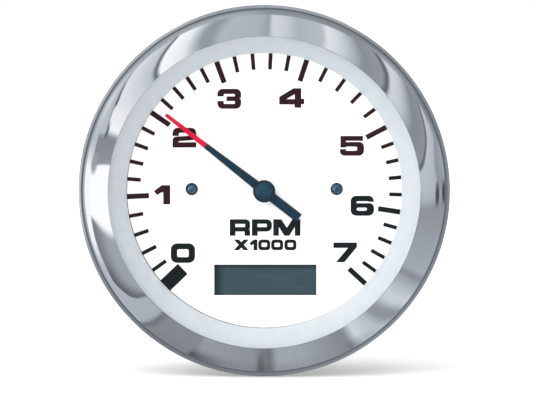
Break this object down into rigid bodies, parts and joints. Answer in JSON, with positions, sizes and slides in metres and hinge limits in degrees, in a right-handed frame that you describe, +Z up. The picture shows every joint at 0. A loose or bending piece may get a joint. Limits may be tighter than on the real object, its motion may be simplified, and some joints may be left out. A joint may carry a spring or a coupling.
{
  "type": "tachometer",
  "caption": "Panel tachometer: domed round bezel, sloping trim ring, white dial with pointer and display window, can-shaped case, rear clamp strap and terminals",
  "frame": {"origin": "on the dial's axis, in the plane where the soft ring meets the front of the panel", "axes": "the dial looks along -Y, the case runs along +Y behind the panel, +Z is up on the dial and +X is to the right of someone who reads it"},
  "size_m": [0.102, 0.0826, 0.102],
  "materials": {
    "bezel_steel": "mirror polished stainless steel",
    "lens_clear": "clear and polished",
    "rubber_black": "matt",
    "trim_grey": "fine matt moulding",
    "dial_white": "matt paint",
    "print_black": "matt screen print",
    "screw_blue": "blackened, satin",
    "pointer_dark": "matt paint",
    "cap_dark": "satin",
    "spindle_steel": "ground",
    "magnet_grey": "sintered",
    "bobbin_nylon": "natural nylon",
    "coil_copper": "enamelled copper wire",
    "shield_steel": "drawn steel",
    "frame_white": "matt moulding",
    "board_green": "solder mask",
    "screw_zinc": "zinc plated",
    "chip_black": "moulded",
    "capacitor_sleeve": "shrunk sleeve",
    "display_slate": "unlit display, satin",
    "holder_grey": "moulded",
    "contact_rubber": "conductive strip",
    "selector_grey": "moulded",
    "selector_white": "moulded",
    "case_black": "fine matt moulding",
    "stud_steel": "zinc plated",
    "clamp_zinc": "zinc plated sheet",
    "washer_steel": "spring steel",
    "nut_zinc": "zinc plated",
    "terminal_brass": "turned",
    "socket_black": "moulded",
    "bulb_glass": "clear"
  },
  "bodies": {
    "housing": {"bezel": "bezel_steel", "lens": "lens_clear", "lens_gasket": "rubber_black", "trim_ring": "trim_grey", "dial_plate": "dial_white", "scale_marks": "print_black", "dial_screws": "screw_blue", "bobbin_front": "bobbin_nylon", "bobbin_rear": "bobbin_nylon", "coil_inner": "coil_copper", "coil_outer": "coil_copper", "shield_can": "shield_steel", "support_frame": "frame_white", "circuit_board": "board_green", "board_screws": "screw_zinc", "driver_chip": "chip_black", "capacitors": "capacitor_sleeve", "display_panel": "display_slate", "display_holder": "holder_grey", "display_contacts": "contact_rubber", "selector_body": "selector_grey", "case": "case_black", "panel_gasket": "rubber_black", "mounting_studs": "stud_steel", "clamp_bracket": "clamp_zinc", "stud_washers": "washer_steel", "stud_nuts": "nut_zinc", "terminal_studs": "terminal_brass", "terminal_washers": "terminal_brass", "terminal_nuts": "terminal_brass", "lamp_socket": "socket_black", "lamp_contacts": "terminal_brass", "lamp_bulb": "bulb_glass"},
    "pointer": {"pointer": "pointer_dark", "pointer_cap": "cap_dark", "spindle": "spindle_steel", "rotor_magnet": "magnet_grey"},
    "selector": {"selector_rotor": "selector_white"}
  },
  "joints": [
    {"name": "pointer_turn", "type": "hinge", "parent": "housing", "child": "pointer", "pos_m": [0, 0, 0], "axis": [0, 1, 0], "range_deg": [-81.7, 184.9]},
    {"name": "selector_turn", "type": "hinge", "parent": "housing", "child": "selector", "pos_m": [-0.011, 0, 0.026], "axis": [0, 1, 0], "range_deg": [0, 90]}
  ]
}
